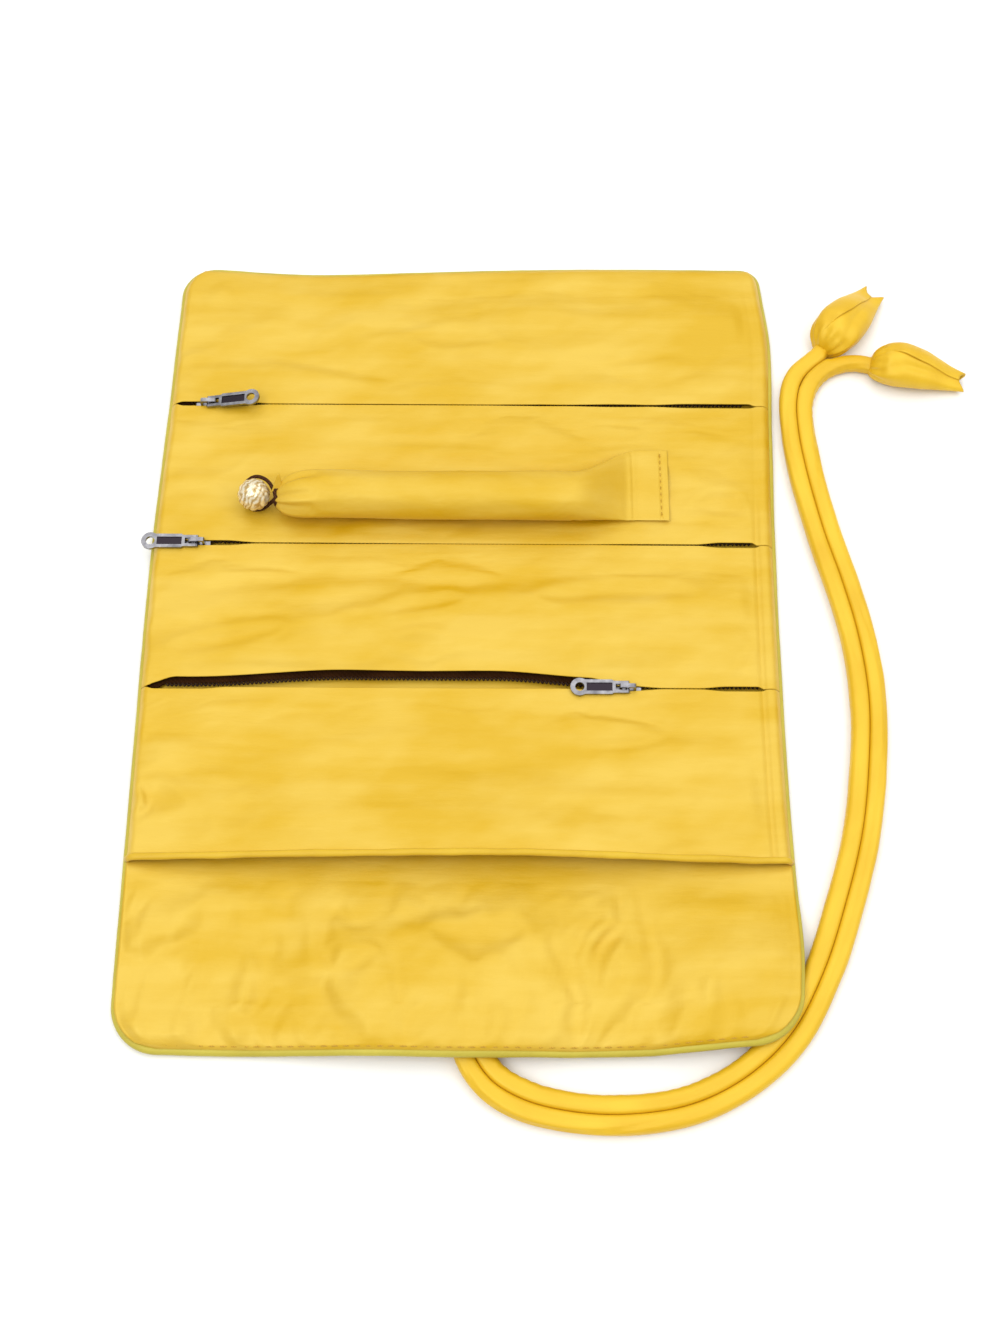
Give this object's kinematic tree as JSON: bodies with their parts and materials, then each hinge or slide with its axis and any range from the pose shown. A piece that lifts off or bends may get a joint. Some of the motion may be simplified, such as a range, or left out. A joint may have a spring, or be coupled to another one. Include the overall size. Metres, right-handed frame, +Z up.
{
  "type": "jewelry roll",
  "caption": "Padded satin jewelry roll lying open, with zipped pockets, a slip pocket, a ring bolster with loop and bead, piped edges and tie cords ending in fabric tulips.",
  "frame": {"origin": "on the floor under the middle of the open mat", "axes": "+X to the right along the zips, +Y from the tie flap to the far edge, +Z up"},
  "size_m": [0.2605, 0.2815, 0.0194],
  "materials": {
    "satin": "smooth satin weave",
    "cover_satin": "smooth satin weave",
    "piping_satin": "satin bias strip over cord",
    "wadding": "loose fibre",
    "zip_tape": "woven tape",
    "zip_coil": "moulded coil",
    "nickel": "worn nickel plate",
    "gold_bead": "pierced, dull gold",
    "elastic": "braided elastic"
  },
  "bodies": {
    "flap": {"outer_cover_flap": "cover_satin", "padding_flap": "wadding", "lining_flap": "satin", "piping_near": "piping_satin", "tie_tack": "satin", "tie_cord_inner": "satin", "tie_cord_outer": "satin", "tulip_inner": "satin", "tulip_outer": "satin"},
    "hem_panel": {"outer_cover_hem": "cover_satin", "padding_hem": "wadding", "lining_hem": "satin", "pocket_front_hem": "satin", "hem_roll": "piping_satin", "piping_left_hem": "piping_satin", "piping_right_hem": "piping_satin"},
    "middle_panel": {"outer_cover_middle": "cover_satin", "padding_middle": "wadding", "lining_middle": "satin", "pocket_front_middle": "satin", "pocket_lip_hem": "satin", "zip_tape_upper_middle": "zip_tape", "zip_tape_lower_middle": "zip_tape", "zip_coil_upper_middle": "zip_coil", "zip_coil_lower_middle": "zip_coil", "piping_left_middle": "piping_satin", "piping_right_middle": "piping_satin"},
    "ring_panel": {"outer_cover_ring": "cover_satin", "padding_ring": "wadding", "lining_ring": "satin", "pocket_front_ring": "satin", "pocket_lip_middle": "satin", "zip_tape_upper_ring": "zip_tape", "zip_tape_lower_ring": "zip_tape", "zip_coil_upper_ring": "zip_coil", "zip_coil_lower_ring": "zip_coil", "piping_left_ring": "piping_satin", "piping_right_ring": "piping_satin", "bolster_tab": "satin", "bead_button": "gold_bead"},
    "top_panel": {"outer_cover_top": "cover_satin", "padding_top": "wadding", "lining_top": "satin", "pocket_front_top": "satin", "pocket_lip_ring": "satin", "zip_tape_upper_top": "zip_tape", "zip_tape_lower_top": "zip_tape", "zip_coil_upper_top": "zip_coil", "zip_coil_lower_top": "zip_coil", "piping_far": "piping_satin"},
    "ring_bolster": {"bolster_sleeve": "satin", "bolster_stuffing": "wadding", "elastic_loop": "elastic"},
    "slider_top": {"zip_slider_top": "nickel"},
    "pull_top": {"zip_pull_top": "nickel"},
    "slider_ring": {"zip_slider_ring": "nickel"},
    "pull_ring": {"zip_pull_ring": "nickel"},
    "slider_middle": {"zip_slider_middle": "nickel"},
    "pull_middle": {"zip_pull_middle": "nickel"}
  },
  "joints": [
    {"name": "fold_hem", "type": "hinge", "parent": "flap", "child": "hem_panel", "pos_m": [0, -0.0786, 0.006], "axis": [1, 0, 0], "range_deg": [0, 90]},
    {"name": "fold_middle", "type": "hinge", "parent": "hem_panel", "child": "middle_panel", "pos_m": [0, -0.0305, 0.006], "axis": [1, 0, 0], "range_deg": [0, 80]},
    {"name": "fold_ring", "type": "hinge", "parent": "middle_panel", "child": "ring_panel", "pos_m": [0, 0.0175, 0.006], "axis": [1, 0, 0], "range_deg": [0, 80]},
    {"name": "fold_top", "type": "hinge", "parent": "ring_panel", "child": "top_panel", "pos_m": [0, 0.0675, 0.006], "axis": [1, 0, 0], "range_deg": [0, 125]},
    {"name": "slider_top_slide", "type": "slide", "parent": "top_panel", "child": "slider_top", "axis": [1, 0, 0], "range_m": [0, 0.165]},
    {"name": "slider_ring_slide", "type": "slide", "parent": "ring_panel", "child": "slider_ring", "axis": [1, 0, 0], "range_m": [0, 0.165]},
    {"name": "slider_middle_slide", "type": "slide", "parent": "middle_panel", "child": "slider_middle", "axis": [1, 0, 0], "range_m": [-0.131, 0.034]},
    {"name": "pull_top_flip", "type": "hinge", "parent": "slider_top", "child": "pull_top", "pos_m": [-0.0825, 0.075, 0.00635], "axis": [0, -1, 0], "range_deg": [0, 165]},
    {"name": "pull_ring_flip", "type": "hinge", "parent": "slider_ring", "child": "pull_ring", "pos_m": [-0.0825, 0.025, 0.00635], "axis": [0, 1, 0], "range_deg": [0, 178]},
    {"name": "pull_middle_flip", "type": "hinge", "parent": "slider_middle", "child": "pull_middle", "pos_m": [0.0485, -0.023, 0.00635], "axis": [0, 1, 0], "range_deg": [0, 178]},
    {"name": "bolster_lift", "type": "hinge", "parent": "ring_panel", "child": "ring_bolster", "pos_m": [0.0543, 0.038, 0.00795], "axis": [0, -1, 0], "range_deg": [-150, 0]}
  ]
}
